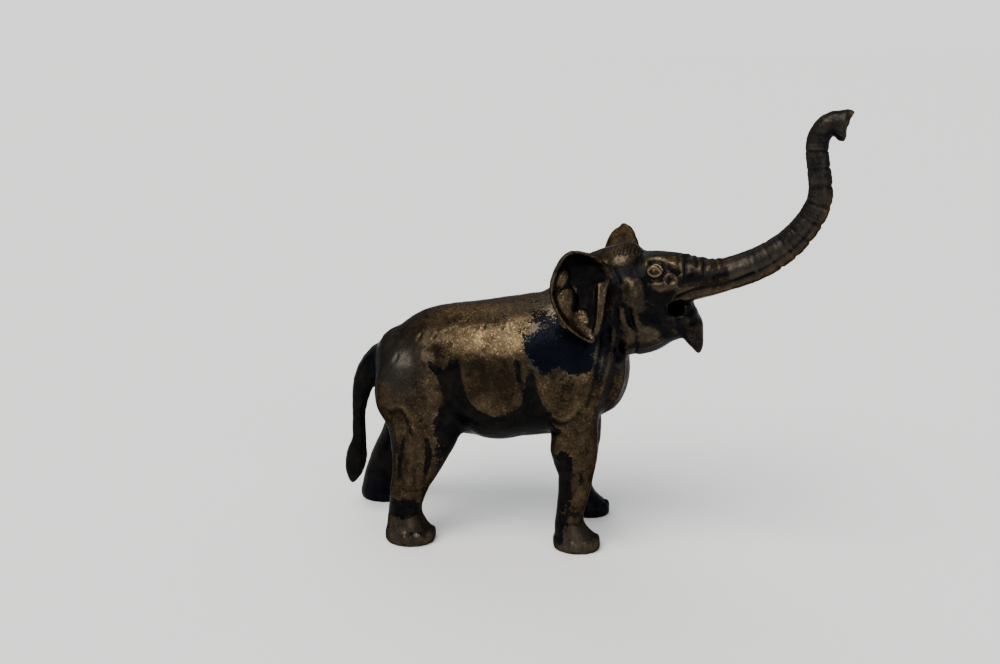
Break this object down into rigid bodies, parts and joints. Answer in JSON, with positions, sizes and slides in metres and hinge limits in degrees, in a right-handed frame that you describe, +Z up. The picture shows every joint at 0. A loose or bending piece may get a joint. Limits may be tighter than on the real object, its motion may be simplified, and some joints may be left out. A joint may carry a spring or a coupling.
{
  "type": "elephant sculpture",
  "caption": "Small cast bronze elephant walking with its trunk raised and mouth open, worn brown patina, standing on its own feet.",
  "frame": {"origin": "on the ground, under the middle of the figure's bounding box; the body's mid-plane is y = 0", "axes": "+X the way the elephant faces, +Y towards its left side, +Z up"},
  "size_m": [0.1647, 0.0562, 0.1461],
  "materials": {
    "bronze": "dark brown to black patinated bronze with a satin gloss, worn to golden brown on the raised places"
  },
  "bodies": {
    "root": {"elephant": "bronze"}
  },
  "joints": []
}
